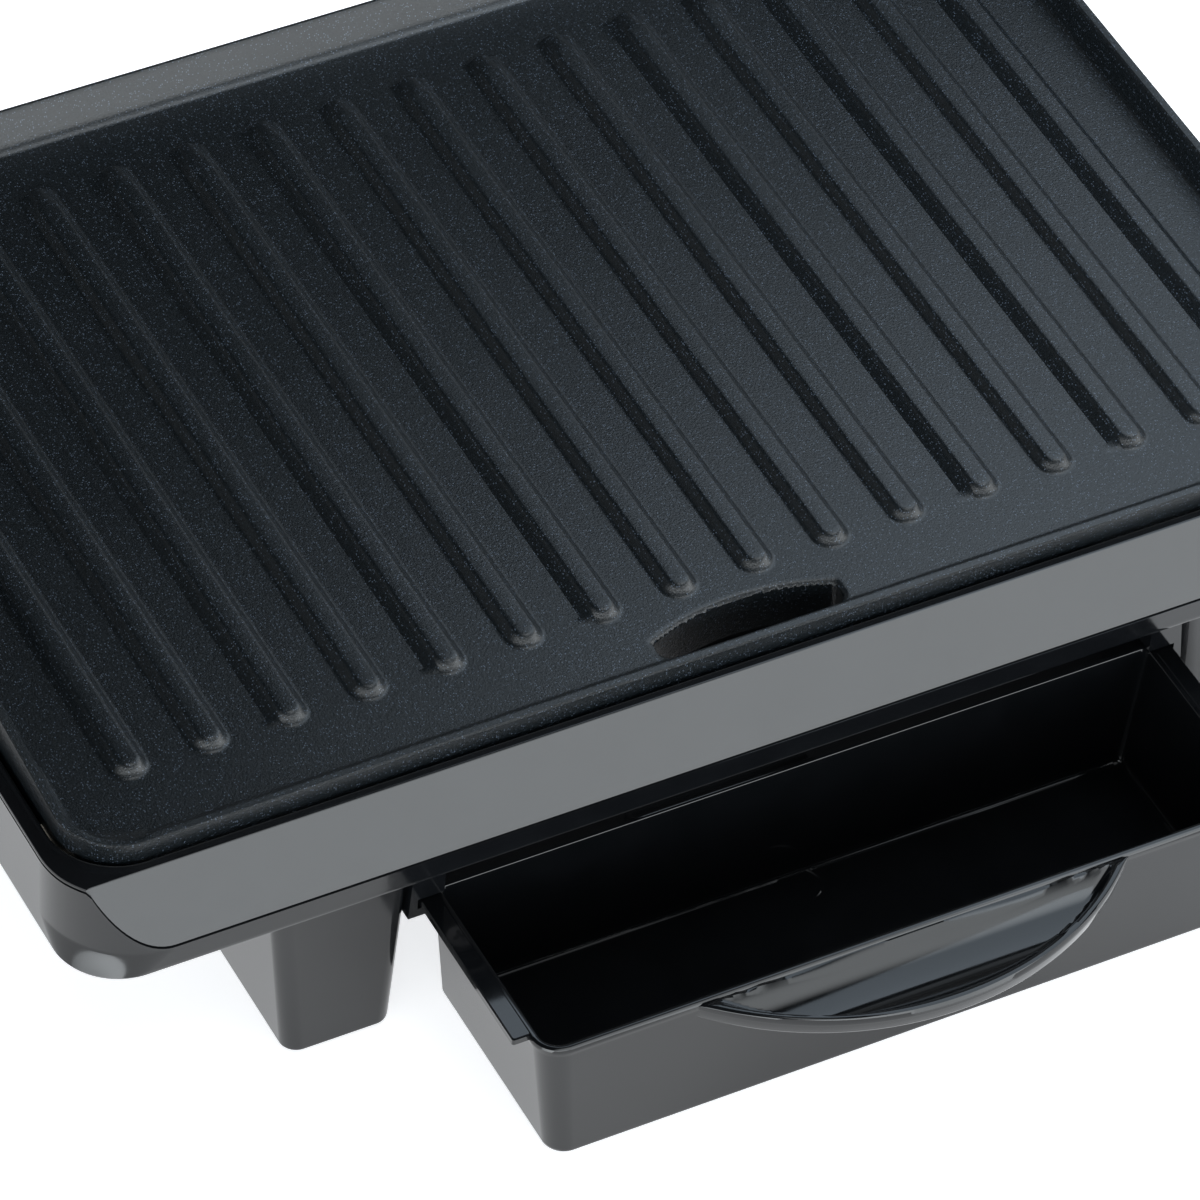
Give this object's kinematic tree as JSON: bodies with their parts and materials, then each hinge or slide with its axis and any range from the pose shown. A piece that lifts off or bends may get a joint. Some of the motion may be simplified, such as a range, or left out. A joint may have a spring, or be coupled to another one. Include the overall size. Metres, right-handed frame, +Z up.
{
  "type": "electric griddle",
  "caption": "Low electric griddle: a ribbed lift-out plate with a drip slot in a moulded base on box legs, with a pull-out drip drawer, a heat dial and a cord inlet.",
  "frame": {"origin": "on the table, in the plane of the foot pads, under the middle of the base", "axes": "+X to the user's right along the front, +Y to the back, +Z up"},
  "size_m": [0.342, 0.284, 0.0861],
  "materials": {
    "gloss_housing": "polished moulded black plastic, faintly blue",
    "gloss_drawer": "polished moulded black plastic",
    "matt_cover": "fine spark-textured dark plastic",
    "rubber": "matt soft rubber",
    "nonstick": "satin blue-black non-stick coat with fine light flecks over cast aluminium",
    "bright_sheet": "bright rolled sheet",
    "steatite": "unglazed off-white ceramic",
    "tube_sheath": "heat-darkened sheath",
    "phenolic": "brown moulded resin",
    "brass": "turned",
    "dial_metal": "satin anodised",
    "screw_steel": "zinc plated",
    "knob_plastic": "satin gloss",
    "red_lens": "clear red",
    "lamp_glass": "clear",
    "tinned_wire": "tinned",
    "wire_brown": "silicone sleeve",
    "wire_white": "glass-braid sleeve",
    "wire_blue": "silicone sleeve",
    "wire_green": "silicone sleeve"
  },
  "bodies": {
    "base": {"base_frame": "gloss_housing", "bottom_cover": "matt_cover", "front_left_leg": "gloss_housing", "front_right_leg": "gloss_housing", "rear_left_leg": "gloss_housing", "rear_right_leg": "gloss_housing", "front_left_pad": "rubber", "front_right_pad": "rubber", "rear_left_pad": "rubber", "rear_right_pad": "rubber", "drawer_rail_left": "gloss_housing", "drawer_rail_right": "gloss_housing", "reflector_pan": "bright_sheet", "pan_spacers": "steatite", "heating_element": "tube_sheath", "element_saddles": "bright_sheet", "element_insulators": "steatite", "crimp_sleeves": "bright_sheet", "plate_seats": "steatite", "drip_chute": "matt_cover", "thermostat_body": "phenolic", "bushing_nut": "brass", "dial_ring": "dial_metal", "pilot_lens": "red_lens", "pilot_lamp": "lamp_glass", "lamp_leads": "tinned_wire", "thermal_fuse": "bright_sheet", "wire_live": "wire_brown", "wire_heater": "wire_white", "wire_return": "wire_blue", "wire_earth": "wire_green", "earth_tab": "bright_sheet", "terminal_block": "steatite", "cord_gland": "rubber", "gland_nut": "matt_cover", "bottom_screws": "screw_steel", "leg_screws": "screw_steel", "rail_screws": "screw_steel", "pan_screws": "screw_steel"},
    "plate": {"grill_plate": "nonstick"},
    "drawer": {"drip_drawer": "gloss_drawer"},
    "knob": {"control_knob": "knob_plastic", "thermostat_shaft": "screw_steel"}
  },
  "joints": [
    {"name": "plate_lift", "type": "slide", "parent": "base", "child": "plate", "axis": [0, 0, 1], "range_m": [0, 0.06]},
    {"name": "drawer_slide", "type": "slide", "parent": "base", "child": "drawer", "axis": [0, -1, 0], "range_m": [-0.048, 0.02]},
    {"name": "knob_turn", "type": "hinge", "parent": "base", "child": "knob", "pos_m": [0.15855, -0.088, 0.08], "axis": [0, 0, -1], "range_deg": [0, 270]}
  ]
}
